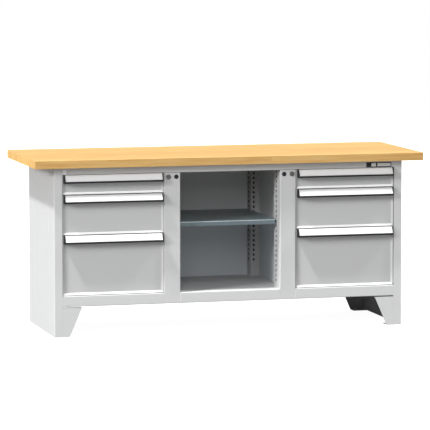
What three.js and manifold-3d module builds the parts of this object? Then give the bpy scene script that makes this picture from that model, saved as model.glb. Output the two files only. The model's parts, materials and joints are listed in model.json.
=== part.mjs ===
// A workbench with a beech worktop on a sheet-steel underframe: two banks of three drawers
// on telescopic runners, and an open bay with one adjustable shelf between them.
// Millimetres, +Z up, front towards -Y. The origin is on the floor, under the worktop's centre.
// Pieces that come in pairs are drawn for the right-hand side, where +X points outwards,
// and a mirrored group repeats them on the left.
import * as THREE from "three";
import { mergeVertices } from "three/addons/utils/BufferGeometryUtils.js";
import Module from "manifold-3d";

const wasm = await Module();
wasm.setup();

// ---------- Driving dimensions ----------
const WIDTH = 2000; // worktop, end to end
const DEPTH = 700; // worktop, front to back
const HEIGHT = 880; // floor to the working surface
const TOP_THICKNESS = 40;
const END_OVERHANG = 100; // worktop beyond the underframe at each end
const FRONT_OVERHANG = 40;
const REAR_OVERHANG = 50;
const FOOT_HEIGHT = 150; // clear height under the cabinets
const BOTTOM_RAIL = 54; // rails under the drawers and the bay
const TOP_RAIL = 36; // rails under the worktop
const LEG_FLANGE = 42; // front and rear flange of a side panel
const COLUMN_WIDTH = 83; // face of the column between a drawer bank and the bay
const POST_WIDTH = 46; // from the bay's slotted posts to the partition
const BANK_WIDTH = 517; // clear opening of a drawer bank
const FRONT_INSET = 4; // drawer fronts stand this far behind the frame's face
const FRONT_CLEARANCE = 2; // between a drawer front and the frame beside it
const MODULES = [
  { level: "bottom", height: 300 },
  { level: "middle", height: 200 },
  { level: "top", height: 100 },
]; // drawer modules, from the bottom rail upwards
const SHEET = 2; // sheet steel
const BEND = 4; // outer radius of a fold in the sheet
const BEND_STEPS = 3; // straight steps in the arc of a fold
const GAP = 0.3; // between pieces that touch
const SEAM = 1.2; // open joint between two welded frames

// ---------- Places that follow from them ----------
const frameEnd = WIDTH / 2 - END_OVERHANG;
const front = -DEPTH / 2 + FRONT_OVERHANG;
const back = DEPTH / 2 - REAR_OVERHANG;
const insideFront = front + SHEET + GAP;
const insideBack = back - SHEET - GAP;
const drawerFace = front + FRONT_INSET;
const frameTop = HEIGHT - TOP_THICKNESS - GAP;
const trayTop = FOOT_HEIGHT + BOTTOM_RAIL;
const onTray = trayTop + GAP;
const railBottom = HEIGHT - TOP_THICKNESS - TOP_RAIL;
const underRail = railBottom - GAP;
const bankOuter = frameEnd - LEG_FLANGE;
const bankInner = bankOuter - BANK_WIDTH;
const bankCentre = (bankOuter + bankInner) / 2;
const bayHalf = bankInner - COLUMN_WIDTH;
const partition = bayHalf + POST_WIDTH;

// ---------- Finishes ----------
const finish = (color, roughness, metalness) =>
  new THREE.MeshStandardMaterial({ color, roughness, metalness });
const beech = () => finish(0xe7be82, 0.45, 0);
const paint = () => finish(0xc9cacb, 0.5, 0.1);
const zinc = () => finish(0xa9bcc6, 0.35, 0.8);
const aluminium = () => finish(0xe9e9ea, 0.35, 0.6);
const nickel = () => finish(0x9a9b9d, 0.25, 0.9);
const blackPlastic = () => finish(0x242424, 0.5, 0);

// ---------- Solids ----------
// Coordinates are rounded to a thousandth, so that faces drawn in one plane lie exactly in it.
function solidOf(geometry) {
  geometry.deleteAttribute("normal");
  geometry.deleteAttribute("uv");
  const merged = mergeVertices(geometry, 1e-3);
  return new wasm.Manifold(
    new wasm.Mesh({
      numProp: 3,
      vertProperties: merged.attributes.position.array.map((v) => Math.round(v * 1000) / 1000),
      triVerts: new Uint32Array(merged.index.array),
    }),
  );
}

// A box between two limits on each axis.
function box([x0, x1], [y0, y1], [z0, z1]) {
  const geometry = new THREE.BoxGeometry(x1 - x0, y1 - y0, z1 - z0);
  geometry.translate((x0 + x1) / 2, (y0 + y1) / 2, (z0 + z1) / 2);
  return solidOf(geometry);
}

// A flat outline drawn out to a length, then laid along the axis that the matrix names.
function extruded(points, length, placed) {
  const shape = new THREE.Shape(points.map(([a, b]) => new THREE.Vector2(a, b)));
  const geometry = new THREE.ExtrudeGeometry(shape, { depth: length, bevelEnabled: false });
  return solidOf(geometry.applyMatrix4(placed));
}

// A plan outline, points (x, y), raised from z0 to z1.
function raised(points, [z0, z1]) {
  return extruded(points, z1 - z0, new THREE.Matrix4().makeTranslation(0, 0, z0));
}

// An end outline, points (y, z), drawn along X.
function drawnAlongX(points, [x0, x1]) {
  const placed = new THREE.Matrix4().set(0, 0, 1, x0, 1, 0, 0, 0, 0, 1, 0, 0, 0, 0, 0, 1);
  return extruded(points, x1 - x0, placed);
}

// A front outline, points (x, z), drawn along Y.
function drawnAlongY(points, [y0, y1]) {
  const placed = new THREE.Matrix4().set(1, 0, 0, 0, 0, 0, -1, y1, 0, 1, 0, 0, 0, 0, 0, 1);
  return extruded(points, y1 - y0, placed);
}

// Points on an arc about a centre, from one angle to another, in degrees.
function arc([a, b], radius, from, to) {
  return Array.from({ length: BEND_STEPS + 1 }, (_, i) => {
    const angle = THREE.MathUtils.degToRad(from + ((to - from) * i) / BEND_STEPS);
    return [a + radius * Math.cos(angle), b + radius * Math.sin(angle)];
  });
}

// C-section of folded sheet behind an upright face: points (y, z), with a lip at its foot
// and one at its head. The lips run inwards, towards +Y or -Y.
function cSection(face, inwards, [z0, z1], footLip, headLip) {
  const foot = [BEND, z0 + BEND];
  const head = [BEND, z1 - BEND];
  const section = [
    [footLip, z0],
    ...arc(foot, BEND, 270, 180),
    ...arc(head, BEND, 180, 90),
    [headLip, z1],
    [headLip, z1 - SHEET],
    ...arc(head, BEND - SHEET, 90, 180),
    ...arc(foot, BEND - SHEET, 180, 270),
    [footLip, z0 + SHEET],
  ];
  return section.map(([depth, z]) => [face + inwards * depth, z]);
}

// A turned piece on an axis along Y through (x, z); the profile gives (radius, y).
function turned(profile, x, z, sides) {
  const points = profile.map(([radius, y]) => new THREE.Vector2(radius, y));
  return solidOf(new THREE.LatheGeometry(points, sides).translate(x, 0, z));
}

const join = (...solids) => solids.reduce((all, next) => all.add(next));
const cut = (solid, ...tools) => tools.reduce((rest, tool) => rest.subtract(tool), solid);

const bench = new THREE.Group();
const rightSide = new THREE.Group();
const leftSide = new THREE.Group();
leftSide.scale.x = -1;
bench.add(rightSide, leftSide);

function add(group, name, solid, material) {
  const { vertProperties, triVerts } = solid.getMesh();
  const geometry = new THREE.BufferGeometry();
  geometry.setAttribute("position", new THREE.BufferAttribute(vertProperties, 3));
  geometry.setIndex(new THREE.BufferAttribute(triVerts, 1));
  geometry.computeVertexNormals();
  const mesh = new THREE.Mesh(geometry, material);
  mesh.name = name;
  group.add(mesh);
}

// ---------- Worktop ----------
function worktop() {
  const easing = 2; // small chamfer round the top face
  const under = HEIGHT - TOP_THICKNESS;
  const eased = (half) => [
    [-half, under],
    [half, under],
    [half, HEIGHT - easing],
    [half - easing, HEIGHT],
    [-half + easing, HEIGHT],
    [-half, HEIGHT - easing],
  ];
  const [x, y] = [WIDTH / 2, DEPTH / 2];
  const top = drawnAlongX(eased(y), [-x, x]).intersect(drawnAlongY(eased(x), [-y, y]));
  add(bench, "worktop", top, beech());
}

// ---------- Underframe ----------
// Side panel and leg in one folded sheet, with two pressed beads that stiffen it.
function sidePanel(side, group) {
  const web = frameEnd - SHEET;
  const beadDepth = 1.5;
  const beadHalf = 3;
  const beadInset = 130; // from the front and the back
  const beads = [front + beadInset, back - beadInset];
  const frontFold = [frameEnd - BEND, front + BEND];
  const backFold = [frameEnd - BEND, back - BEND];
  const outside = beads.flatMap((y) => [
    [frameEnd, y - beadHalf],
    [frameEnd - beadDepth, y],
    [frameEnd, y + beadHalf],
  ]);
  const inside = beads.flatMap((y) => [
    [web, y - beadHalf],
    [web - beadDepth, y],
    [web, y + beadHalf],
  ]);
  const outline = [
    [bankOuter, front],
    ...arc(frontFold, BEND, -90, 0),
    ...outside,
    ...arc(backFold, BEND, 0, 90),
    [bankOuter, back],
    [bankOuter, back - SHEET],
    ...arc(backFold, BEND - SHEET, 90, 0),
    ...inside.reverse(),
    ...arc(frontFold, BEND - SHEET, 0, -90),
    [bankOuter, front + SHEET],
  ];
  add(group, `${side}_side_panel`, raised(outline, [0, frameTop]), paint());
}

// Foot bracket: a tapered face beside the leg, a folded top edge, and a floor plate
// with an anchor hole behind the leg's flange.
function footBracket(side, group, end) {
  const topReach = 98;
  const floorReach = 34;
  const top = FOOT_HEIGHT - 5;
  const plateDepth = 60;
  const foldDepth = 25;
  const plateThickness = 3;
  const anchorRadius = 6;
  const leg = bankOuter - GAP;
  const web = frameEnd - SHEET - GAP;
  const face = end === "front" ? front : back;
  const inwards = end === "front" ? 1 : -1;
  const span = (near, far) => [face + inwards * near, face + inwards * far].sort((a, b) => a - b);
  const tapered = [
    [bankOuter - floorReach, 0],
    [leg, 0],
    [leg, top],
    [bankOuter - topReach, top],
  ];
  const anchor = new THREE.CylinderGeometry(anchorRadius, anchorRadius, 3 * plateThickness, 20);
  anchor.rotateX(Math.PI / 2);
  anchor.translate(bankOuter + LEG_FLANGE / 4, face + (inwards * plateDepth) / 2, plateThickness / 2);
  const bracket = join(
    drawnAlongY(tapered, span(0, SHEET)),
    box([bankOuter - topReach, leg], span(0, foldDepth), [top - SHEET, top]),
    box([bankOuter - floorReach, leg], span(0, plateDepth), [0, plateThickness]),
    box([leg - SHEET, web], span(BEND, plateDepth), [0, plateThickness]),
  );
  add(group, `${side}_${end}_foot_bracket`, cut(bracket, solidOf(anchor)), paint());
}

// Slots for the shelf bearers, one above another.
const SLOT_PITCH = 25;
const SLOT_HALF_HEIGHT = 6;
const FACE_SLOT_HALF = 4.5; // half the width of a slot that faces front
const WEB_SLOT_HALF = 7; // half the width of a slot that faces into the bay
const LOWEST_SLOT = 240;
const LOWEST_REAR_SLOT = 290;
const HIGHEST_SLOT = 790;
const frontSlotY = front + 71;
const rearSlotY = back - 28;
const faceSlotX = bayHalf + 17;
const webSpan = (centre) => [centre - WEB_SLOT_HALF, centre + WEB_SLOT_HALF];
const faceSpan = (centre) => [centre - FACE_SLOT_HALF, centre + FACE_SLOT_HALF];

function slots(x, y, lowest) {
  const made = [];
  for (let z = lowest; z <= HIGHEST_SLOT; z += SLOT_PITCH) {
    made.push(box(x, y, [z - SLOT_HALF_HEIGHT, z + SLOT_HALF_HEIGHT]));
  }
  return made;
}

// Lock and blanking plug sit near the column's top.
const plugX = bayHalf + 21;
const lockX = plugX + 40;
const lockZ = railBottom - 21;
const lockHole = 9.8;
const plugHole = 7.5;

function roundHole(x, z, radius) {
  const [y0, y1] = [front - 1, front + SHEET + 1];
  return turned([[0, y0], [radius, y0], [radius, y1], [0, y1]], x, z, 28);
}

// Column: its face closes the space beside the bank, its inner web carries the shelf slots.
function column(side, group) {
  const webDepth = 112;
  const lip = 15;
  const outerLip = 25;
  const apronLip = 12;
  const bayFold = [bayHalf + BEND, front + BEND];
  const bankFold = [bankInner - BEND, front + BEND];
  const rearFold = [bayHalf + BEND, front + webDepth - BEND];
  const folded = [
    ...arc(bayFold, BEND, 180, 270),
    ...arc(bankFold, BEND, 270, 360),
    [bankInner, front + outerLip],
    [bankInner - SHEET, front + outerLip],
    ...arc(bankFold, BEND - SHEET, 360, 270),
    ...arc(bayFold, BEND - SHEET, 270, 180),
    ...arc(rearFold, BEND - SHEET, 180, 90),
    [bayHalf + lip, front + webDepth - SHEET],
    [bayHalf + lip, front + webDepth],
    ...arc(rearFold, BEND, 90, 180),
  ];
  const apronFold = [front + BEND, FOOT_HEIGHT + BEND];
  const apron = [
    [front + apronLip, FOOT_HEIGHT],
    ...arc(apronFold, BEND, 270, 180),
    [front, onTray + 1],
    [front + SHEET, onTray + 1],
    ...arc(apronFold, BEND - SHEET, 180, 270),
    [front + apronLip, FOOT_HEIGHT + SHEET],
  ];
  const body = join(raised(folded, [onTray, underRail]), drawnAlongX(apron, [bayHalf, bankInner]));
  const through = [bayHalf - 1, bayHalf + SHEET + 1];
  const holes = [
    ...slots(through, webSpan(frontSlotY), LOWEST_SLOT),
    roundHole(lockX, lockZ, lockHole),
    roundHole(plugX, lockZ, plugHole),
  ];
  add(group, `${side}_column`, cut(body, ...holes), paint());
}

// Rear post of the bay: a slotted web against the back and a slotted flange that faces front.
function rearPost(side, group) {
  const depth = 64;
  const faceY = insideBack - depth;
  const angle = [
    [bayHalf, faceY],
    [partition - GAP, faceY],
    [partition - GAP, faceY + SHEET],
    [bayHalf + SHEET, faceY + SHEET],
    [bayHalf + SHEET, insideBack],
    [bayHalf, insideBack],
  ];
  const throughWeb = [bayHalf - 1, bayHalf + SHEET + 1];
  const throughFace = [faceY - 1, faceY + SHEET + 1];
  const webSlots = slots(throughWeb, webSpan(rearSlotY), LOWEST_REAR_SLOT);
  const faceSlots = slots(faceSpan(faceSlotX), throughFace, LOWEST_REAR_SLOT);
  const post = cut(raised(angle, [onTray, underRail]), ...webSlots, ...faceSlots);
  add(group, `${side}_rear_post`, post, paint());
}

// Partition between a drawer bank and the bay, notched round the top rails' flanges.
const RAIL_FLANGE = 45;
function partitionWall(side, group) {
  const x = [partition, partition + SHEET];
  const wall = join(
    box(x, [insideFront, insideBack], [onTray, underRail]),
    box(x, [front + RAIL_FLANGE + GAP, back - RAIL_FLANGE - GAP], [underRail - 1, frameTop]),
  );
  add(group, `${side}_partition`, wall, paint());
}

// Bottom tray: a floor with a front rail and a rear flange folded down from it.
function tray(name, group, floorX, railX) {
  const lip = 20;
  const overlap = BEND + 1; // of the folded rails and the floor
  const made = join(
    box(floorX, [front + BEND, insideBack - BEND], [trayTop - SHEET, trayTop]),
    drawnAlongX(cSection(front, 1, [FOOT_HEIGHT, trayTop], lip, overlap), railX),
    drawnAlongX(cSection(insideBack, -1, [FOOT_HEIGHT, trayTop], lip, overlap), railX),
  );
  add(group, name, made, paint());
}

// Rail under the worktop, a C-section that the worktop is screwed down through.
function topRail(end) {
  const face = end === "front" ? front : back;
  const inwards = end === "front" ? 1 : -1;
  const lip = 15;
  const screwRadius = 3;
  const screwDepth = 30; // behind the rail's face
  const screwSpread = 150; // each side of a bank's centre
  const along = [-bankOuter + GAP, bankOuter - GAP];
  const section = drawnAlongX(cSection(face, inwards, [railBottom, frameTop], lip, RAIL_FLANGE), along);
  const screwHoles = [-1, 1].flatMap((way) =>
    [bayHalf / 2, bankCentre - screwSpread, bankCentre + screwSpread].map((x) => {
      const shaft = new THREE.CylinderGeometry(screwRadius, screwRadius, 3 * SHEET, 12);
      shaft.rotateX(Math.PI / 2);
      shaft.translate(way * x, face + inwards * screwDepth, frameTop - SHEET / 2);
      return solidOf(shaft);
    }),
  );
  add(bench, `${end}_top_rail`, cut(section, ...screwHoles), paint());
}

function backPanel() {
  const x = bankOuter - GAP;
  const grooveDepth = 0.8;
  const grooveHalf = 1;
  const panel = box([-x, x], [back - SHEET, back], [FOOT_HEIGHT, underRail]);
  const grooves = [-1, 1].map((way) =>
    box(
      [way * partition - grooveHalf, way * partition + grooveHalf],
      [back - grooveDepth, back + 1],
      [FOOT_HEIGHT - 1, underRail + 1],
    ),
  );
  add(bench, "back_panel", cut(panel, ...grooves), paint());
}

// ---------- Shelf ----------
const SHELF_SHEET = 1.5;
const SHELF_END_GAP = 10; // between the shelf and the slotted webs
const shelfSlotZ = 540; // the slots that carry the bearers
const shelfTop = shelfSlotZ + 11;
const shelfHalf = bayHalf - SHELF_END_GAP;
const shelfFront = front + 55;

// Shelf of thin sheet, its front and rear edges folded down and under.
function shelf() {
  const lip = 25;
  const fold = 12;
  const rear = insideBack - 4;
  const bottom = shelfTop - lip;
  const inner = BEND - SHELF_SHEET;
  const [yFront, yRear] = [shelfFront + BEND, rear - BEND];
  const [zLow, zHigh] = [bottom + BEND, shelfTop - BEND];
  const section = [
    [shelfFront + fold, bottom],
    ...arc([yFront, zLow], BEND, 270, 180),
    ...arc([yFront, zHigh], BEND, 180, 90),
    ...arc([yRear, zHigh], BEND, 90, 0),
    ...arc([yRear, zLow], BEND, 0, -90),
    [rear - fold, bottom],
    [rear - fold, bottom + SHELF_SHEET],
    ...arc([yRear, zLow], inner, -90, 0),
    ...arc([yRear, zHigh], inner, 0, 90),
    ...arc([yFront, zHigh], inner, 90, 180),
    ...arc([yFront, zLow], inner, 180, 270),
    [shelfFront + fold, bottom + SHELF_SHEET],
  ];
  add(bench, "shelf", drawnAlongX(section, [-shelfHalf, shelfHalf]), zinc());
}

// Bearer that hooks into a front and a rear slot and carries one end of the shelf.
function shelfBearer(side, group) {
  const under = shelfTop - SHELF_SHEET - GAP;
  const height = 18;
  const ledge = 22;
  const hookHalfHeight = 4;
  const hookHalfWidth = 3;
  const wall = bayHalf - GAP;
  const hooked = [wall - SHEET, bayHalf + 3 * SHEET];
  const ends = [shelfFront + 14, insideBack - 18];
  const hookZ = [shelfSlotZ - hookHalfHeight, shelfSlotZ + hookHalfHeight];
  const hooks = [frontSlotY, rearSlotY].map((y) =>
    box(hooked, [y - hookHalfWidth, y + hookHalfWidth], hookZ),
  );
  const bearer = join(
    box([wall - SHEET, wall], ends, [under - height, under]),
    box([wall - ledge, wall], ends, [under - SHEET, under]),
    ...hooks,
  );
  add(group, `${side}_shelf_bearer`, bearer, zinc());
}

// ---------- Locks ----------
// Turning barrel with a key slot in front and a locking cam behind the column's face.
function lock(side, group) {
  const radius = 9.4;
  const rim = 12.5;
  const proud = 4; // of the column's face
  const body = 18; // length behind the face
  const spindle = 4; // radius behind the body
  const camHalf = 6;
  const camReach = 17;
  const profile = [
    [0, front - proud],
    [rim - 1, front - proud],
    [rim, front - proud + 1],
    [rim, front - GAP],
    [radius, front - GAP],
    [radius, front + body],
    [spindle, front + body],
    [spindle, front + body + 6],
    [0, front + body + 6],
  ];
  const keySlot = box([lockX - 1, lockX + 1], [front - proud - 1, front + 4], [lockZ - 4.5, lockZ + 4.5]);
  const cam = box(
    [lockX - camHalf, lockX + camHalf],
    [front + body + 0.5, front + body + 3],
    [lockZ - camReach, lockZ + camHalf],
  );
  const barrel = turned(profile, lockX, lockZ, 28);
  add(group, `${side}_lock`, cut(join(barrel, cam), keySlot), nickel());
}

function blankingPlug(side, group) {
  const stem = plugHole - GAP;
  const rim = 11.4;
  const profile = [
    [0, front - 2.5],
    [rim - 2, front - 2.2],
    [rim, front - 1],
    [rim, front - GAP],
    [stem, front - GAP],
    [stem, front + 8],
    [0, front + 8],
  ];
  add(group, `${side}_blanking_plug`, turned(profile, plugX, lockZ, 28), blackPlastic());
}

// ---------- Drawers ----------
// A runner is three members side by side: one on the carrier, one free, one on the drawer box.
const MEMBER = 4; // thickness of each member
const MEMBER_GAP = 0.5;
const MEMBER_HEIGHT = 36;
const RUNNER_LENGTH = 540;
const RUNNER_HEIGHT_IN_MODULE = 45; // centre line above the module's base
const FOLD_BACK = 20; // depth of a drawer front
const runnerFront = drawerFace + FOLD_BACK + 8;
const runnerY = [runnerFront, runnerFront + RUNNER_LENGTH];
const boxHalf = BANK_WIDTH / 2 - 3 * MEMBER - 2 * MEMBER_GAP;

const modules = [];
let moduleBase = trayTop;
for (const { level, height } of MODULES) {
  modules.push({ level, height, base: moduleBase });
  moduleBase += height;
}

// Channel bar between two x limits, open towards the side that opens gives (+1 or -1).
function runnerMember([x0, x1], opens, z, height) {
  const web = 1.5;
  const lip = 5;
  const half = height / 2;
  const hollow = opens > 0 ? [x0 + web, x1 + 1] : [x0 - 1, x1 - web];
  const bar = box([x0, x1], runnerY, [z - half, z + half]);
  return cut(bar, box(hollow, [runnerY[0] - 1, runnerY[1] + 1], [z - half + lip, z + half - lip]));
}

// Carrier that holds one side's fixed members, stood off from the wall behind it.
function runnerCarrier(side, group, place) {
  const isOuter = place === "outer";
  const opens = isOuter ? -1 : 1;
  const edge = isOuter ? bankOuter : bankInner;
  const wall = isOuter ? frameEnd - SHEET - GAP : partition + SHEET + GAP;
  const [y0, y1] = [runnerFront, insideBack - 8];
  const behind = edge - opens * SHEET;
  const outline = [
    [edge, y0],
    [wall, y0],
    [wall, y0 + SHEET],
    [behind, y0 + SHEET],
    [behind, y1 - SHEET],
    [wall, y1 - SHEET],
    [wall, y1],
    [edge, y1],
  ];
  const member = [edge - opens * 0.5, edge + opens * MEMBER].sort((a, b) => a - b);
  const fixedMembers = modules.map(({ base }) =>
    runnerMember(member, opens, base + RUNNER_HEIGHT_IN_MODULE, MEMBER_HEIGHT),
  );
  const carrier = join(raised(outline, [onTray + 6, underRail - 6]), ...fixedMembers);
  add(group, `${side}_${place}_runner_carrier`, carrier, zinc());
}

// The free member of each runner travels half as far as its drawer.
function middleMembers(side, group, { level, base }) {
  const z = base + RUNNER_HEIGHT_IN_MODULE;
  const near = BANK_WIDTH / 2 - 2 * MEMBER - MEMBER_GAP;
  const far = near + MEMBER;
  const places = { outer: [bankCentre + near, bankCentre + far], inner: [bankCentre - far, bankCentre - near] };
  for (const [place, x] of Object.entries(places)) {
    const opens = place === "outer" ? -1 : 1;
    const member = runnerMember(x, opens, z, MEMBER_HEIGHT - 4);
    add(group, `${side}_${level}_${place}_runner`, member, zinc());
  }
}

// Open sheet box with rolled top edges and the runner members that are fixed to it.
function drawerBox(side, group, { level, height, base }) {
  const wall = 1.5;
  const roll = 8;
  const rollHeight = 5;
  const x = [bankCentre - boxHalf, bankCentre + boxHalf];
  const boxFront = drawerFace + FOLD_BACK;
  const y = [boxFront + GAP, boxFront + RUNNER_LENGTH];
  const z = [base + 12, base + height - 25];
  const inset = ([low, high], by) => [low + by, high - by];
  const hollow = box(inset(x, wall), inset(y, wall), [z[0] + wall, z[1] - rollHeight]);
  const mouth = box(inset(x, roll), inset(y, roll), [z[1] - rollHeight - 1, z[1] + 1]);
  const underRoll = box(inset(x, wall), inset(y, wall), [z[1] - rollHeight - 1, z[1] - wall]);
  const runnerZ = base + RUNNER_HEIGHT_IN_MODULE;
  const members = [1, -1].map((way) => {
    const member = [
      bankCentre + way * (boxHalf - 0.5),
      bankCentre + way * (boxHalf + MEMBER),
    ].sort((a, b) => a - b);
    return runnerMember(member, way, runnerZ, MEMBER_HEIGHT);
  });
  const shell = cut(box(x, y, z), hollow, underRoll, mouth);
  add(group, `${side}_${level}_drawer_box`, join(shell, ...members), paint());
}

// Pressed front: a flat rim with a dished field, its edges folded back.
function drawerFront(side, group, { level, height, base }) {
  const half = BANK_WIDTH / 2 - FRONT_CLEARANCE;
  const dish = 6; // depth of the field behind the rim
  const slope = 10; // width of the sloping border
  const underHandle = 46; // rim behind the handle
  const z = [base + 3, base + height - 1];
  const x = [bankCentre - half, bankCentre + half];
  const shell = box(x, [drawerFace, drawerFace + FOLD_BACK], z);
  const hollow = box(
    [x[0] + SHEET, x[1] - SHEET],
    [drawerFace + dish + SHEET, drawerFace + FOLD_BACK + 1],
    [z[0] + SHEET, z[1] - SHEET],
  );
  const rimX = [x[0] + 1, x[1] - 1];
  const rimZ = [z[0] + 1, z[1] - underHandle + slope];
  const field = taperedBox(rimX, rimZ, [drawerFace, drawerFace + dish], slope);
  add(group, `${side}_${level}_drawer_front`, cut(shell, hollow, field), paint());
}

// Box that narrows by the same amount on all four sides from its near face to its far face.
function taperedBox([x0, x1], [z0, z1], [nearY, farY], narrowing) {
  const reach = 1; // carries the shape on past its near face
  const spread = (narrowing * reach) / (farY - nearY);
  const corners = (by) => [
    [x0 + by, z0 + by],
    [x1 - by, z0 + by],
    [x1 - by, z1 - by],
    [x0 + by, z1 - by],
  ];
  const near = corners(-spread).map(([x, z]) => [x, nearY - reach, z]);
  const far = corners(narrowing).map(([x, z]) => [x, farY, z]);
  const geometry = new THREE.BufferGeometry();
  geometry.setAttribute("position", new THREE.Float32BufferAttribute([...near, ...far].flat(), 3));
  const sides = [0, 1, 2, 3].flatMap((i) => {
    const j = (i + 1) % 4;
    return [i, j, 4 + j, i, 4 + j, 4 + i];
  });
  geometry.setIndex([0, 1, 2, 0, 2, 3, 4, 6, 5, 4, 7, 6, ...sides.reverse()]);
  return solidOf(geometry);
}

// Full-width bar handle: a sloping face over a finger groove, closed by a cap at each end.
function drawerHandle(side, group, { level, height, base }) {
  const half = BANK_WIDTH / 2 - FRONT_CLEARANCE - 4;
  const cap = 5;
  const top = base + height - 1;
  const root = drawerFace - GAP; // stands on the drawer front
  const reach = 30; // how far the lip stands out
  const lean = 6; // how far the top edge stands out
  const drop = 30; // height of the sloping face
  const lip = 10;
  const wall = 2.5;
  const outline = [
    [root, top],
    [root, top - drop - lip],
    [root - reach, top - drop - lip],
    [root - reach, top - drop],
    [root - lean, top],
  ];
  const groove = [
    [root - wall, top - 2 * wall],
    [root - wall, top - drop - lip - 1],
    [root - reach + wall, top - drop - lip - 1],
    [root - reach + wall, top - drop - wall / 2],
    [root - lean - wall / 2, top - 2 * wall],
  ];
  const x = [bankCentre - half, bankCentre + half];
  const between = [x[0] + cap, x[1] - cap];
  const handle = cut(drawnAlongX(outline, x), drawnAlongX(groove, between));
  add(group, `${side}_${level}_drawer_handle`, handle, aluminium());
}

// ---------- Assembly ----------
worktop();
topRail("front");
topRail("rear");
backPanel();
tray("bay_tray", bench, [-partition + GAP, partition - GAP], [-bayHalf + SEAM, bayHalf - GAP]);
shelf();
for (const [side, group] of [["left", leftSide], ["right", rightSide]]) {
  const bankSeam = side === "right" ? SEAM : GAP;
  const trayFloor = [partition + GAP, frameEnd - SHEET - 3];
  sidePanel(side, group);
  footBracket(side, group, "front");
  footBracket(side, group, "rear");
  tray(`${side}_bank_tray`, group, trayFloor, [bankInner + bankSeam, bankOuter - GAP]);
  column(side, group);
  rearPost(side, group);
  partitionWall(side, group);
  shelfBearer(side, group);
  lock(side, group);
  blankingPlug(side, group);
  runnerCarrier(side, group, "outer");
  runnerCarrier(side, group, "inner");
  for (const drawer of modules) {
    middleMembers(side, group, drawer);
    drawerBox(side, group, drawer);
    drawerFront(side, group, drawer);
    drawerHandle(side, group, drawer);
  }
}

export default bench;
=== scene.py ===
# Looks for the workbench with drawers: materials, soft edges and fine pieces round the imported model.
# Metres, +Z up, front towards -Y. The handles, the plates' depth and where the painted shade inside the
# slots goes are worked out from the imported nodes' own boxes.
import json
import math

import bpy
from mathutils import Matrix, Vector


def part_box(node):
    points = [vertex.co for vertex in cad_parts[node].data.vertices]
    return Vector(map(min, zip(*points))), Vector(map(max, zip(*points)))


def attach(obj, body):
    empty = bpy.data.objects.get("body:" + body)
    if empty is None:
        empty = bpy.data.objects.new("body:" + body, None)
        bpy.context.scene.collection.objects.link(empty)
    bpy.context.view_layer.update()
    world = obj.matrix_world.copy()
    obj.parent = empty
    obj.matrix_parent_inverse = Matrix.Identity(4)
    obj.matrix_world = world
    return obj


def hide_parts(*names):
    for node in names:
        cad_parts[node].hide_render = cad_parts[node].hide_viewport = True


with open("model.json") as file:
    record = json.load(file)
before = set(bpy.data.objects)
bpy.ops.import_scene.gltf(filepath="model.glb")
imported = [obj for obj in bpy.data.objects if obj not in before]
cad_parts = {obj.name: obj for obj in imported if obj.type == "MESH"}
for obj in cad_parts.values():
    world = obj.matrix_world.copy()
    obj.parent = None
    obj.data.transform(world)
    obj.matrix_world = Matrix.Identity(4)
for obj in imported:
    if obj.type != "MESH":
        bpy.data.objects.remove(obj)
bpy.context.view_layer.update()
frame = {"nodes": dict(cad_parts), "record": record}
nodes = frame["nodes"]

SIDES = {"left": -1, "right": 1}
LEVELS = ("bottom", "middle", "top")

# ---------- Colours, linear ----------
COAT = (0.45, 0.453, 0.453)
COAT_SPECK = (0.41, 0.413, 0.413)
# Painted highlight for the up-and-forward slopes of the drawer fronts' borders.
COAT_PAINTED_HIGHLIGHT = (0.80, 0.80, 0.80)
# Painted light: a lighter copy of the coat for the bay's back panel and partitions.
COAT_PAINTED_LIGHTER_INSIDE = (0.53, 0.56, 0.58)
BEECH_PALE = (0.475, 0.308, 0.120)
BEECH_DARK = (0.395, 0.220, 0.066)
BEECH_PORE = (0.23, 0.11, 0.030)
ZINC = (0.140, 0.180, 0.200)
# Painted highlight for the shelf's up-and-forward fold.
ZINC_PAINTED_HIGHLIGHT = (0.46, 0.54, 0.58)
# Painted light: a lighter copy of the zinc for the shelf's top faces.
ZINC_PAINTED_LIT_TOP = (0.21, 0.26, 0.28)
ALUMINIUM = (0.57, 0.57, 0.575)
BLACK = (0.010, 0.010, 0.011)
NICKEL = (0.20, 0.20, 0.205)
# Painted shade: near black for the slots and the hollows behind the bay's posts and webs.
HOLLOW_PAINTED_SHADE = (0.012, 0.012, 0.013)
RUNNER_STEEL = (0.50, 0.52, 0.54)
PLASTIC_WORN = (0.07, 0.07, 0.072)
LABEL_WHITE = (0.59, 0.59, 0.59)
LABEL_SHADE = (0.55, 0.553, 0.558)
TAG_GREY = (0.62, 0.62, 0.66)
TAG_SPECK = (0.58, 0.58, 0.62)
FLOOR_PALE = (0.22, 0.22, 0.22)
FLOOR_SHADE = (0.21, 0.21, 0.21)
FLOOR_GLOW = 0.96  # how white the floor looks by itself; the rest comes from the lights

# ---------- Sizes ----------
STAVE_WIDTH = 0.043
STAVE_LENGTH = 0.62
# Blank plates on the front rail: across the bench from its middle, and up from the floor
NAMEPLATE_X = (0.711, 0.843)
NAMEPLATE_Z = (0.8075, 0.8315)
TAG_X = (-0.854, -0.836)
TAG_Z = (0.806, 0.832)

# ---------- Camera ----------
CAMERA_PLACE = (-3.987, -14.780, 2.162)
CAMERA_YAW = math.radians(15.11)
CAMERA_PITCH = math.radians(6.0)
CAMERA_LENS = 253.1


# ---------- Node helpers ----------
def new_material(name):
    material = bpy.data.materials.new(name)
    material.use_nodes = True
    tree = material.node_tree
    shader = tree.nodes["Principled BSDF"]
    return material, tree, shader


def node(tree, kind, **values):
    made = tree.nodes.new(kind)
    for name, value in values.items():
        if hasattr(made, name):
            setattr(made, name, value)
        else:
            made.inputs[name].default_value = value
    return made


def link(tree, source, target):
    tree.links.new(source, target)


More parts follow.
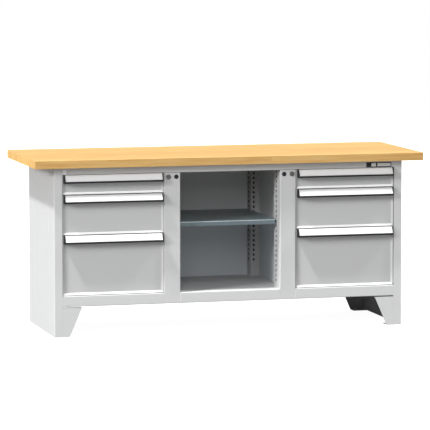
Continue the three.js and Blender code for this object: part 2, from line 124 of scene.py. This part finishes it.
def place(tree, scale=(1, 1, 1)):
    """Object coordinates, stretched."""
    coordinates = node(tree, "ShaderNodeTexCoord")
    mapping = node(tree, "ShaderNodeMapping")
    mapping.inputs["Scale"].default_value = scale
    link(tree, coordinates.outputs["Object"], mapping.inputs["Vector"])
    return mapping.outputs["Vector"]


def noise(tree, vector, scale, detail=4.0, roughness=0.5):
    made = node(tree, "ShaderNodeTexNoise")
    made.inputs["Scale"].default_value = scale
    made.inputs["Detail"].default_value = detail
    made.inputs["Roughness"].default_value = roughness
    link(tree, vector, made.inputs["Vector"])
    return made.outputs["Fac"]


def spread(tree, value, low, high, to_low=0.0, to_high=1.0):
    """Maps low..high of a value to to_low..to_high, clamped."""
    made = node(tree, "ShaderNodeMapRange")
    made.inputs["From Min"].default_value = low
    made.inputs["From Max"].default_value = high
    made.inputs["To Min"].default_value = to_low
    made.inputs["To Max"].default_value = to_high
    link(tree, value, made.inputs["Value"])
    return made.outputs["Result"]


def mix(tree, factor, first, second):
    """Colour mix; factor, first and second are sockets or plain values."""
    made = node(tree, "ShaderNodeMix", data_type="RGBA")
    for index, value in ((0, factor), (6, first), (7, second)):
        if isinstance(value, bpy.types.NodeSocket):
            link(tree, value, made.inputs[index])
        elif index == 0:
            made.inputs[index].default_value = value
        else:
            made.inputs[index].default_value = (*value, 1)
    return made.outputs[2]


def math_node(tree, operation, first, second=0.0):
    made = node(tree, "ShaderNodeMath", operation=operation)
    for index, value in ((0, first), (1, second)):
        if isinstance(value, bpy.types.NodeSocket):
            link(tree, value, made.inputs[index])
        else:
            made.inputs[index].default_value = value
    return made.outputs[0]


def bump(tree, shader, height, strength, distance):
    made = node(tree, "ShaderNodeBump")
    made.inputs["Strength"].default_value = strength
    made.inputs["Distance"].default_value = distance
    link(tree, height, made.inputs["Height"])
    link(tree, made.outputs["Normal"], shader.inputs["Normal"])


def edges(tree, low, high):
    """1 along sharp outer edges, from the mesh's own pointiness."""
    geometry = node(tree, "ShaderNodeNewGeometry")
    return spread(tree, geometry.outputs["Pointiness"], low, high)


def inside(tree, socket, low, high):
    """1 where a value lies between two limits."""
    above = math_node(tree, "GREATER_THAN", socket, low)
    return math_node(tree, "MULTIPLY", above, math_node(tree, "LESS_THAN", socket, high))


# ---------- Materials ----------
def painted_hollow_shade(tree, colour):
    """The cut slots, and the hollows behind the bay's slotted posts and webs, are painted near black:
    painted shade where little light gets in.
    """
    post_low, post_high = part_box("right_rear_post")
    column_low, column_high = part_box("right_column")
    skin = 0.0004  # leaves the outer faces in their own colour
    margin = 0.001
    front_fold = 0.014
    spot = node(tree, "ShaderNodeSeparateXYZ")
    link(tree, node(tree, "ShaderNodeTexCoord").outputs["Object"], spot.inputs["Vector"])
    x = math_node(tree, "ABSOLUTE", spot.outputs["X"])
    across = inside(tree, x, post_low.x + skin, post_high.x + margin)
    behind_web = inside(tree, spot.outputs["Y"], column_low.y + front_fold, column_high.y - skin)
    behind_post = inside(tree, spot.outputs["Y"], post_low.y + skin, post_high.y + margin)
    either = math_node(tree, "MAXIMUM", behind_web, behind_post)
    return mix(tree, math_node(tree, "MULTIPLY", across, either), colour, HOLLOW_PAINTED_SHADE)


def powder_coat(name, colour, speck):
    """Light grey powder coat: orange peel, fine specks, a painted highlight along sharp edges and
    painted shade in the slotted hollows.
    """
    material, tree, shader = new_material(name)
    vector = place(tree)
    specks = spread(tree, noise(tree, vector, 900, 2), 0.42, 0.62)
    clouds = spread(tree, noise(tree, vector, 3.2, 3), 0.3, 0.7)
    coat = mix(tree, specks, speck, colour)
    shade = tuple(0.97 * c for c in colour)
    coat = mix(tree, math_node(tree, "MULTIPLY", clouds, 0.5), coat, shade)
    # Painted highlight: sharp edges are made paler, where bends catch the light.
    edge_highlight = edges(tree, 0.53, 0.60)
    pale = tuple(min(1, 1.12 * c) for c in colour)
    coat = mix(tree, math_node(tree, "MULTIPLY", edge_highlight, 0.6), coat, pale)
    # Painted shade in the slotted hollows is laid over the coat here.
    link(tree, painted_hollow_shade(tree, coat), shader.inputs["Base Color"])
    peel = noise(tree, vector, 650, 3)
    link(tree, spread(tree, peel, 0.3, 0.7, 0.42, 0.56), shader.inputs["Roughness"])
    shader.inputs["Specular IOR Level"].default_value = 0.4
    bump(tree, shader, peel, 0.12, 0.0004)
    return material


def beech():
    """Oiled beech, staves glued side by side along the bench, with fine pores and rays."""
    material, tree, shader = new_material("beech")
    coordinates = node(tree, "ShaderNodeTexCoord")
    parts = node(tree, "ShaderNodeSeparateXYZ")
    link(tree, coordinates.outputs["Object"], parts.inputs["Vector"])
    across = math_node(tree, "DIVIDE", parts.outputs["Y"], STAVE_WIDTH)
    row = math_node(tree, "FLOOR", across)
    row_noise = node(tree, "ShaderNodeTexWhiteNoise", noise_dimensions="1D")
    link(tree, row, row_noise.inputs["W"])
    # The joints of each row of staves are shifted along the bench by an amount of its own.
    most_shift = 0.9
    shift = math_node(tree, "MULTIPLY", row_noise.outputs["Value"], most_shift)
    along = math_node(tree, "DIVIDE", math_node(tree, "ADD", parts.outputs["X"], shift), STAVE_LENGTH)
    stave = node(tree, "ShaderNodeCombineXYZ")
    link(tree, math_node(tree, "FLOOR", along), stave.inputs["X"])
    link(tree, row, stave.inputs["Y"])
    stave_noise = node(tree, "ShaderNodeTexWhiteNoise", noise_dimensions="3D")
    link(tree, stave.outputs["Vector"], stave_noise.inputs["Vector"])
    # A row keeps much the same tone along the bench.
    own = math_node(tree, "MULTIPLY", stave_noise.outputs["Value"], 0.35)
    shared = math_node(tree, "MULTIPLY", row_noise.outputs["Value"], 0.65)
    tone = math_node(tree, "ADD", own, shared)
    # Grain runs along the bench, and each stave has its own piece of it.
    offset = node(tree, "ShaderNodeVectorMath", operation="MULTIPLY")
    link(tree, stave_noise.outputs["Color"], offset.inputs[0])
    offset.inputs[1].default_value = (3, 3, 3)
    moved = node(tree, "ShaderNodeVectorMath", operation="ADD")
    link(tree, coordinates.outputs["Object"], moved.inputs[0])
    link(tree, offset.outputs["Vector"], moved.inputs[1])

    def stretched(scale):
        mapping = node(tree, "ShaderNodeMapping")
        mapping.inputs["Scale"].default_value = scale
        link(tree, moved.outputs["Vector"], mapping.inputs["Vector"])
        return mapping.outputs["Vector"]

    rings = spread(tree, noise(tree, stretched((1.4, 26, 26)), 3.2, 5, 0.6), 0.34, 0.68)
    pores = spread(tree, noise(tree, stretched((9, 240, 240)), 4, 2), 0.60, 0.74)
    wood = mix(tree, rings, BEECH_PALE, BEECH_DARK)
    paler = tuple(1.16 * c for c in BEECH_PALE)
    darker = tuple(0.84 * c for c in BEECH_DARK)
    wood = mix(tree, spread(tree, tone, 0.5, 1.0, 0.0, 0.45), wood, paler)
    wood = mix(tree, spread(tree, tone, 0.5, 0.0, 0.0, 0.35), wood, darker)
    wood = mix(tree, math_node(tree, "MULTIPLY", pores, 0.28), wood, BEECH_PORE)
    # Glue lines between the staves.
    within = math_node(tree, "FRACT", across)
    to_edge = math_node(tree, "MINIMUM", within, math_node(tree, "SUBTRACT", 1.0, within))
    line = spread(tree, to_edge, 0.0, 0.025, 1.0, 0.0)
    wood = mix(tree, math_node(tree, "MULTIPLY", line, 0.35), wood, BEECH_PORE)
    link(tree, wood, shader.inputs["Base Color"])
    link(tree, spread(tree, rings, 0, 1, 0.42, 0.52), shader.inputs["Roughness"])
    shader.inputs["Specular IOR Level"].default_value = 0.2
    bump(tree, shader, math_node(tree, "ADD", pores, line), 0.15, 0.0003)
    return material


def beech_end():
    """End grain of the same staves: arcs of growth rings, a new piece of them in each stave."""
    material, tree, shader = new_material("beech_end")
    parts = node(tree, "ShaderNodeSeparateXYZ")
    link(tree, node(tree, "ShaderNodeTexCoord").outputs["Object"], parts.inputs["Vector"])
    row = math_node(tree, "FLOOR", math_node(tree, "DIVIDE", parts.outputs["Y"], STAVE_WIDTH))
    chance = node(tree, "ShaderNodeTexWhiteNoise", noise_dimensions="1D")
    link(tree, row, chance.inputs["W"])
    # The tree's heart lies below each stave, at a height and a place across it of its own.
    lowest, height_range = 0.72, 0.08
    centre = node(tree, "ShaderNodeCombineXYZ")
    staves_across = math_node(tree, "ADD", row, chance.outputs["Value"])
    heart_y = math_node(tree, "MULTIPLY", staves_across, STAVE_WIDTH)
    link(tree, math_node(tree, "SUBTRACT", parts.outputs["Y"], heart_y), centre.inputs["X"])
    own_height = math_node(tree, "MULTIPLY", chance.outputs["Value"], height_range)
    heart_z = math_node(tree, "ADD", own_height, lowest)
    link(tree, math_node(tree, "SUBTRACT", parts.outputs["Z"], heart_z), centre.inputs["Y"])
    wave = node(tree, "ShaderNodeTexWave", wave_type="RINGS", rings_direction="Z")
    wave.inputs["Scale"].default_value = 90
    wave.inputs["Distortion"].default_value = 2.0
    wave.inputs["Detail"].default_value = 2.0
    link(tree, centre.outputs["Vector"], wave.inputs["Vector"])
    pale = tuple(1.45 * c for c in BEECH_PALE)
    dark = tuple(1.30 * c for c in BEECH_DARK)
    wood = mix(tree, wave.outputs["Fac"], pale, dark)
    tone = spread(tree, chance.outputs["Value"], 0.0, 1.0, 0.0, 0.22)
    wood = mix(tree, tone, wood, BEECH_PORE)
    link(tree, wood, shader.inputs["Base Color"])
    link(tree, spread(tree, wave.outputs["Fac"], 0, 1, 0.5, 0.6), shader.inputs["Roughness"])
    shader.inputs["Specular IOR Level"].default_value = 0.15
    bump(tree, shader, wave.outputs["Fac"], 0.08, 0.0002)
    return material


def zinc(name, colour):
    """Bluish passivated zinc with a faint spangle."""
    material, tree, shader = new_material(name)
    vector = place(tree)
    cells = node(tree, "ShaderNodeTexVoronoi")
    cells.inputs["Scale"].default_value = 110
    link(tree, vector, cells.inputs["Vector"])
    grey = node(tree, "ShaderNodeRGBToBW")
    link(tree, cells.outputs["Color"], grey.inputs["Color"])
    pale = tuple(1.18 * c for c in colour)
    link(tree, mix(tree, grey.outputs["Val"], colour, pale), shader.inputs["Base Color"])
    shader.inputs["Metallic"].default_value = 0.4
    link(tree, spread(tree, grey.outputs["Val"], 0, 1, 0.34, 0.5), shader.inputs["Roughness"])
    bump(tree, shader, noise(tree, vector, 500, 2), 0.06, 0.0003)
    return material


def brushed(name, colour, along, roughness, metallic=0.9):
    """Metal with fine marks drawn along one axis."""
    material, tree, shader = new_material(name)
    stretch = [900.0, 900.0, 900.0]
    stretch["xyz".index(along)] = 8.0
    marks = noise(tree, place(tree, tuple(stretch)), 1.0, 3)
    dark = tuple(0.93 * c for c in colour)
    link(tree, mix(tree, spread(tree, marks, 0.3, 0.7), dark, colour), shader.inputs["Base Color"])
    shine = spread(tree, marks, 0.3, 0.7, roughness - 0.05, roughness + 0.08)
    link(tree, shine, shader.inputs["Roughness"])
    shader.inputs["Metallic"].default_value = metallic
    bump(tree, shader, marks, 0.05, 0.0002)
    return material


def black_plastic():
    """Moulded black plastic with a fine spark-eroded grain."""
    material, tree, shader = new_material("black_plastic")
    vector = place(tree)
    grain = noise(tree, vector, 1200, 2)
    lighter = tuple(1.9 * c for c in BLACK)
    worn = edges(tree, 0.53, 0.62)
    colour = mix(tree, spread(tree, grain, 0.35, 0.7), BLACK, lighter)
    half_worn = math_node(tree, "MULTIPLY", worn, 0.5)
    link(tree, mix(tree, half_worn, colour, PLASTIC_WORN), shader.inputs["Base Color"])
    link(tree, spread(tree, grain, 0.3, 0.7, 0.4, 0.55), shader.inputs["Roughness"])
    shader.inputs["Specular IOR Level"].default_value = 0.1
    bump(tree, shader, grain, 0.12, 0.0003)
    return material


def label_film():
    """Matt white label paper with faint fibres."""
    material, tree, shader = new_material("label_film")
    fibres = noise(tree, place(tree, (40, 400, 400)), 1.0, 3)
    paper = mix(tree, spread(tree, fibres, 0.3, 0.7), LABEL_SHADE, LABEL_WHITE)
    link(tree, paper, shader.inputs["Base Color"])
    link(tree, spread(tree, fibres, 0.3, 0.7, 0.4, 0.5), shader.inputs["Roughness"])
    bump(tree, shader, fibres, 0.04, 0.0002)
    return material


def floor_paper():
    """Pale studio floor that keeps only a faint shadow."""
    material, tree, shader = new_material("floor_paper")
    grain = noise(tree, place(tree), 60, 3)
    paper = mix(tree, spread(tree, grain, 0.3, 0.7), FLOOR_SHADE, FLOOR_PALE)
    link(tree, paper, shader.inputs["Base Color"])
    shader.inputs["Roughness"].default_value = 0.9
    shader.inputs["Specular IOR Level"].default_value = 0.1
    shader.inputs["Emission Color"].default_value = (1, 1, 1, 1)
    path = node(tree, "ShaderNodeLightPath")
    link(tree, math_node(tree, "MULTIPLY", path.outputs["Is Camera Ray"], FLOOR_GLOW),
         shader.inputs["Emission Strength"])
    return material


MATERIALS = {
    "powder_coat": powder_coat("powder_coat", COAT, COAT_SPECK),
    "beech": beech(),
    "zinc": zinc("zinc", ZINC),
    "aluminium": brushed("aluminium", ALUMINIUM, "x", 0.5, 0.05),
    "nickel": brushed("nickel", NICKEL, "z", 0.3),
    "black_plastic": black_plastic(),
}
END_GRAIN = beech_end()
PAINTED_HIGHLIGHT_ZINC = zinc("zinc_painted_highlight", ZINC_PAINTED_HIGHLIGHT)
PAINTED_LIT_TOP_ZINC = zinc("zinc_painted_lit_top", ZINC_PAINTED_LIT_TOP)
PAINTED_LIGHT_INNER_COAT = powder_coat("inner_coat_painted_light", COAT_PAINTED_LIGHTER_INSIDE, tuple(0.92 * c for c in COAT_PAINTED_LIGHTER_INSIDE))
PAINTED_HIGHLIGHT_COAT = powder_coat("border_painted_highlight", COAT_PAINTED_HIGHLIGHT, tuple(0.95 * c for c in COAT_PAINTED_HIGHLIGHT))
LABEL = label_film()
TAG = powder_coat("tag_grey", TAG_GREY, TAG_SPECK)
RAIL_STEEL = brushed("runner_steel", RUNNER_STEEL, "y", 0.32)


# ---------- CAD nodes: finish and soft edges ----------
def soften(piece, width, segments=2):
    """Rounds a piece's edges over by a bevel of this width."""
    bevel = piece.modifiers.new("edges", "BEVEL")
    bevel.width = width
    bevel.segments = segments
    bevel.limit_method = "ANGLE"
    bevel.angle_limit = math.radians(30)
    bevel.harden_normals = True
    bevel.use_clamp_overlap = True


def finish_faces(piece, material, chosen):
    """Gives the faces whose normal passes the test a second material."""
    piece.data.materials.append(material)
    index = len(piece.data.materials) - 1
    for face in piece.data.polygons:
        if chosen(face.normal):
            face.material_index = index


def slopes_forward(normal):
    """True of a face that looks both up and forwards; such faces get a painted highlight."""
    return normal.z > 0.2 and normal.y < -0.2


def finish_cad_nodes():
    """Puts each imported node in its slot's material and softens its edges."""
    slots = {row["node"]: row["material_slot"] for row in frame["record"]["subparts"]}
    for name, piece in nodes.items():
        material = MATERIALS[slots[name]]
        if name.endswith("_runner"):
            material = RAIL_STEEL
        # The bay's back panel and partitions are painted lighter than the outer coat: painted light for
        # the bay.
        if name == "back_panel" or name.endswith("_partition"):
            material = PAINTED_LIGHT_INNER_COAT
        piece.data.materials.clear()
        piece.data.materials.append(material)
        for face in piece.data.polygons:
            face.material_index = 0
            face.use_smooth = True
        if name.endswith("_drawer_front"):
            # The drawer fronts' up-and-forward slopes get a painted highlight.
            finish_faces(piece, PAINTED_HIGHLIGHT_COAT, slopes_forward)
        if name == "shelf":
            # The shelf's up-and-forward fold gets a painted highlight.
            finish_faces(piece, PAINTED_HIGHLIGHT_ZINC, slopes_forward)
            # The shelf's top faces take a lighter, painted-lit copy of the zinc.
            finish_faces(piece, PAINTED_LIT_TOP_ZINC, lambda normal: normal.z > 0.95)
        if name == "worktop":
            finish_faces(piece, END_GRAIN, lambda normal: abs(normal.x) > 0.9)
        soften(piece, 0.0015 if name == "worktop" else 0.0006)


# ---------- New pieces ----------
def mesh_piece(name, vertices, faces, material):
    """A new smooth-shaded piece in one material."""
    mesh = bpy.data.meshes.new(name)
    mesh.from_pydata(vertices, [], faces)
    mesh.validate()
    mesh.update()
    piece = bpy.data.objects.new(name, mesh)
    bpy.context.scene.collection.objects.link(piece)
    mesh.materials.append(material)
    for face in mesh.polygons:
        face.use_smooth = True
    return piece


def drawn_along_x(name, outline, x0, x1, material):
    """An end outline, points (y, z), drawn from x0 to x1."""
    count = len(outline)
    vertices = [(x, y, z) for x in (x0, x1) for y, z in outline]
    faces = [tuple(range(count))[::-1], tuple(range(count, 2 * count))]
    for i in range(count):
        j = (i + 1) % count
        faces.append((i, j, j + count, i + count))
    return mesh_piece(name, vertices, faces, material)


def plate(name, low, high, material):
    """A thin plate between two corners; its edges are softened by the caller."""
    outline = [(low[1], low[2]), (high[1], low[2]), (high[1], high[2]), (low[1], high[2])]
    return drawn_along_x(name, outline, low[0], high[0], material)


# ---------- Drawer handles ----------
def handle(side, level):
    """Bar handle: a black body, an aluminium face with a label strip, and two black end caps."""
    replaced = f"{side}_{level}_drawer_handle"
    body = f"{side}_{level}_drawer"
    low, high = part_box(replaced)
    cap = 0.007  # length of an end cap
    wall = 0.0025
    lean = 0.014  # how far the top edge stands out
    drop = 0.030  # height of the sloping face
    seat = 0.0002  # keeps the pieces clear of the drawer front
    rib = 0.0007
    proud = 0.0006  # how far the caps stand out round the bar
    taper = 0.003  # how far a cap's outer side draws in towards the lip
    inset = 0.016  # from a cap to the label strip
    reach = high.y - low.y
    root = high.y
    top = high.z
    slope = Vector((-(reach - lean), -drop)).normalized()
    outwards = Vector((-drop, reach - lean)).normalized()
    start = Vector((root - lean, top))
    end = Vector((root - reach, top - drop))

    def at(along, out):
        point = start + slope * along + outwards * out
        return (point.x, point.y)

    length = (end - start).length
    x0, x1 = low.x + cap, high.x - cap
    # The black body runs behind the face and shows as a lip below it.
    body_outline = [
        (root - seat, top - 0.0012),
        at(0.0, -0.0013),
        at(length - 0.001, -0.0013),
        (end.x + 0.0002, end.y - 0.0008),
        (end.x, low.z + 0.002),
        (end.x + 0.0012, low.z),
        (end.x + 0.004, low.z + 0.0003),
        (end.x + wall, low.z + 0.0025),
        (end.x + wall, end.y + 0.0005),
        at(length - 0.002, -wall - 0.0008),
        at(0.004, -wall - 0.0008),
        (root - seat, top - wall - 0.0015),
    ]
    black = drawn_along_x(f"{body}_handle_body", body_outline, x0, x1, MATERIALS["black_plastic"])
    soften(black, 0.0004)
    # The face is rounded over at the top and has two ribs that hold the label strip.
    face_outline = [
        (root - seat, top),
        (root - seat, top - 0.0011),
        at(0.0, -0.0012),
        at(length, -0.0012),
        at(length + 0.0006, -0.0004),
        at(length + 0.0004, rib),
        at(length - 0.0022, rib),
        at(length - 0.0024, 0.0),
        at(0.0062, 0.0),
        at(0.0060, rib),
        at(0.0036, rib),
        at(0.0020, rib * 0.7),
        (root - lean + 0.0006, top),
    ]
    face = drawn_along_x(f"{body}_handle_face", face_outline, x0, x1, MATERIALS["aluminium"])
    soften(face, 0.00025)
    strip_top, strip_foot = 0.0066, length - 0.0028
    under, over = 0.0001, 0.0005
    strip_outline = [
        at(strip_top, under),
        at(strip_foot, under),
        at(strip_foot, over),
        at(strip_top, over),
    ]
    strip = drawn_along_x(f"{body}_label_strip", strip_outline, x0 + inset, x1 - inset, LABEL)
    soften(strip, 0.0001)
    # End caps follow the outline and close the bar down to the drawer front.
    cap_outline = [
        (root - seat, top + proud),
        (root - lean, top + proud),
        at(0.003, proud + 0.0004),
        at(length, proud + 0.0004),
        (end.x - proud, end.y - 0.001),
        (end.x - proud, low.z + 0.001),
        (end.x + 0.002, low.z - proud),
        (root - 0.002, low.z - proud),
        (root - seat, low.z + 0.001),
    ]
    made = [black, face, strip]
    plastic = MATERIALS["black_plastic"]
    for end_name, left, right, outer in (("a", low.x, x0, low.x), ("b", x1, high.x, high.x)):
        piece = drawn_along_x(f"{body}_handle_cap_{end_name}", cap_outline, left, right, plastic)
        for vertex in piece.data.vertices:
            if abs(vertex.co.x - outer) < 1e-6:
                drawn_in = taper * (root - vertex.co.y) / reach
                vertex.co.x += drawn_in if end_name == "a" else -drawn_in
        soften(piece, 0.0008, 3)
        made.append(piece)
    for piece in made:
        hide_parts(replaced)
        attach(piece, body)


# ---------- Nameplate and tag, both blank ----------
def nameplate():
    """Blank plate on the right of the front rail: a dark frame with a pale and a grey field."""
    face_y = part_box("front_top_rail")[0].y
    x0, x1 = NAMEPLATE_X
    z0, z1 = NAMEPLATE_Z
    seat, thickness = 0.0002, 0.0014
    front_y = face_y - seat - thickness
    near, far = (x0, front_y, z0), (x1, face_y - seat, z1)
    base = plate("nameplate_frame", near, far, MATERIALS["black_plastic"])
    soften(base, 0.0006)
    fields = (
        ("nameplate_pale_field", x0 + 0.026, x0 + 0.050, z0 + 0.003, z1 - 0.003),
        ("nameplate_grey_field", x0 + 0.058, x1 - 0.004, z0 + 0.004, z1 - 0.004),
    )
    made = [base]
    for name, left, right, low_z, high_z in fields:
        near, far = (left, front_y - 0.0005, low_z), (right, front_y - 0.0001, high_z)
        field = plate(name, near, far, LABEL)
        soften(field, 0.0001)
        made.append(field)
    for piece in made:
        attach(piece, "bench")


def inspection_tag():
    """Small blank tag at the left end of the front rail."""
    face_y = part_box("front_top_rail")[0].y
    near = (TAG_X[0], face_y - 0.0006, TAG_Z[0])
    far = (TAG_X[1], face_y - 0.0002, TAG_Z[1])
    tag = plate("inspection_tag", near, far, TAG)
    soften(tag, 0.0001)
    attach(tag, "bench")


# ---------- Stage ----------
def floor():
    """Round, flat floor, wide enough that its edge melts into the white backdrop."""
    radius = 14.0
    steps = 72
    turns = [math.tau * i / steps for i in range(steps)]
    rim = [(radius * math.cos(turn), radius * math.sin(turn), 0.0) for turn in turns]
    piece = mesh_piece("floor", rim, [tuple(range(steps))], floor_paper())
    piece.location.z = -0.0005  # just under the feet


def aimed(name, light, location, direction):
    """Places a light so that it shines from a direction."""
    lamp = bpy.data.objects.new(name, light)
    lamp.location = location
    lamp.visible_camera = False
    lamp.rotation_mode = "QUATERNION"
    lamp.rotation_quaternion = Vector(direction).to_track_quat("Z", "Y")
    bpy.context.scene.collection.objects.link(lamp)


def area_light(name, direction, distance, size, strength):
    """A soft panel that shines at the middle of the bench from a direction."""
    light = bpy.data.lights.new(name, "AREA")
    light.shape = "RECTANGLE"
    light.size, light.size_y = size
    light.energy = strength
    target = Vector((0, 0, 0.5))
    aimed(name, light, target + Vector(direction).normalized() * distance, direction)


def far_light(name, direction, softness, strength):
    """A distant light, which falls the same on the whole bench."""
    light = bpy.data.lights.new(name, "SUN")
    light.angle = math.radians(softness)
    light.energy = strength
    aimed(name, light, Vector(direction) * 5, direction)


def lights():
    """Two lights overhead, a fill from the left and a soft box in front."""
    far_light("overhead_left", (-0.5, -0.15, 1.0), 4.0, 4.7)
    far_light("overhead_right", (0.8, -0.15, 1.0), 4.0, 1.9)
    far_light("left_fill", (-1.0, -0.45, 0.40), 16.0, 2.45)
    area_light("front_soft_box", (-0.25, -1.0, 0.60), 6.5, (2.0, 4.2), 150)


def studio():
    """Soft light from all round, brighter from above, in front of a plain white backdrop."""
    world = bpy.data.worlds.new("studio")
    bpy.context.scene.world = world
    world.use_nodes = True
    tree = world.node_tree
    room = tree.nodes["Background"]
    room.inputs["Color"].default_value = (1, 1, 1, 1)
    towards = node(tree, "ShaderNodeSeparateXYZ")
    link(tree, node(tree, "ShaderNodeTexCoord").outputs["Generated"], towards.inputs["Vector"])
    link(tree, spread(tree, towards.outputs["Z"], 0.0, 0.6, 0.27, 0.50), room.inputs["Strength"])
    backdrop = node(tree, "ShaderNodeBackground")
    backdrop.inputs["Color"].default_value = (1, 1, 1, 1)
    seen = node(tree, "ShaderNodeMixShader")
    link(tree, node(tree, "ShaderNodeLightPath").outputs["Is Camera Ray"], seen.inputs[0])
    link(tree, room.outputs[0], seen.inputs[1])
    link(tree, backdrop.outputs[0], seen.inputs[2])
    link(tree, seen.outputs[0], tree.nodes["World Output"].inputs["Surface"])


def camera():
    """Above the bench and to its left, a long way off, with a long lens."""
    yaw, pitch = CAMERA_YAW, CAMERA_PITCH
    data = bpy.data.cameras.new("camera")
    data.lens = CAMERA_LENS
    data.sensor_width = 36
    data.clip_start = 0.5
    data.clip_end = 60
    eye = bpy.data.objects.new("camera", data)
    eye.location = CAMERA_PLACE
    eye.rotation_mode = "QUATERNION"
    level = math.cos(pitch)
    look = Vector((math.sin(yaw) * level, math.cos(yaw) * level, -math.sin(pitch)))
    eye.rotation_quaternion = look.to_track_quat("-Z", "Y")
    bpy.context.scene.collection.objects.link(eye)
    bpy.context.scene.camera = eye


def picture_settings():
    """Plain colours, with no film look."""
    view = bpy.context.scene.view_settings
    view.view_transform = "Standard"
    view.look = "None"
    view.exposure = 0.0


camera()
picture_settings()
floor()
lights()
studio()
finish_cad_nodes()
for side in SIDES:
    for level in LEVELS:
        handle(side, level)
nameplate()
inspection_tag()
